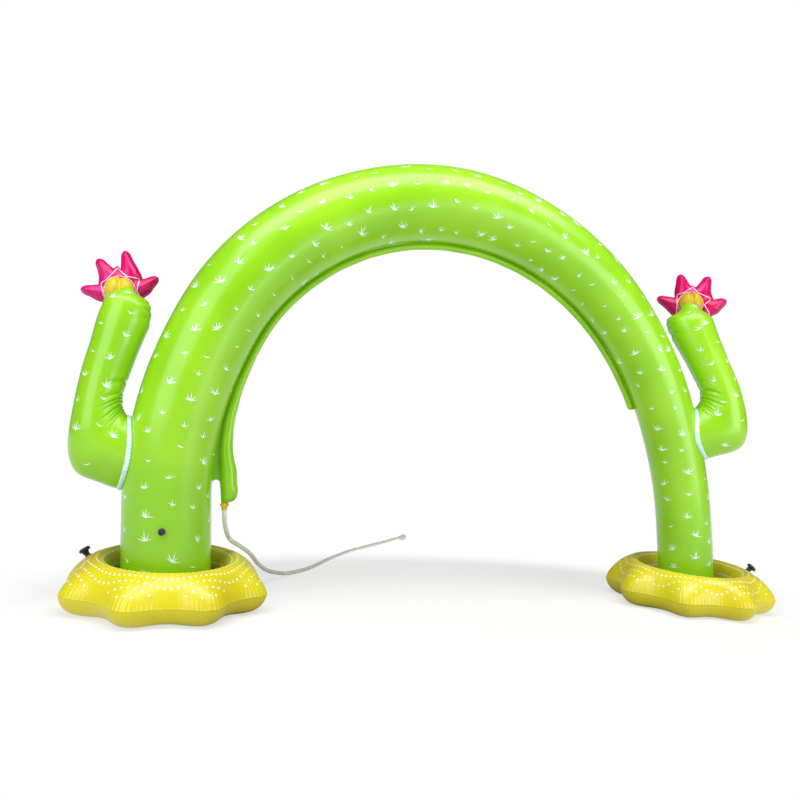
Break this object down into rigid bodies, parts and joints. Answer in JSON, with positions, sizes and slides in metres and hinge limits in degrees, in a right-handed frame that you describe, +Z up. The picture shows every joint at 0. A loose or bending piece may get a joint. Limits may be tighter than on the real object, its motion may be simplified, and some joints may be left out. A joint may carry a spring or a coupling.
{
  "type": "inflatable sprinkler arch",
  "caption": "Cactus-shaped inflatable garden sprinkler arch with bent flower-tipped arms, lobed base rings, an inner spray tube and a feed hose.",
  "frame": {"origin": "on the floor under the middle of the arch's box, without its hose", "axes": "+Z up, +X along the span to the leg whose arm stands higher, -Y the front"},
  "size_m": [3.0232, 1.8969, 1.8001],
  "materials": {
    "green_film": "satin gloss PVC film",
    "yellow_film": "satin gloss PVC film",
    "magenta_film": "satin gloss PVC film",
    "mustard_film": "satin gloss PVC film",
    "clear_strip": "pale clear PVC weld strip",
    "valve_plastic": "soft black plastic",
    "adapter_plastic": "moulded orange plastic",
    "hose_plastic": "clear soft hose",
    "coupling_plastic": "moulded pale grey plastic"
  },
  "bodies": {
    "root": {"arch_tube": "green_film", "spray_strip": "green_film", "arm_left": "green_film", "arm_right": "green_film", "collar_left": "clear_strip", "collar_right": "clear_strip", "flower_left": "magenta_film", "flower_right": "magenta_film", "flower_centre_left": "mustard_film", "flower_centre_right": "mustard_film", "base_left": "yellow_film", "base_right": "yellow_film", "valve_leg": "valve_plastic", "valve_cap_leg": "valve_plastic", "valve_base_left": "valve_plastic", "valve_cap_base_left": "valve_plastic", "valve_base_right": "valve_plastic", "valve_cap_base_right": "valve_plastic", "hose_adapter": "adapter_plastic", "hose": "hose_plastic", "hose_tail": "coupling_plastic", "hose_nut": "coupling_plastic"}
  },
  "joints": []
}
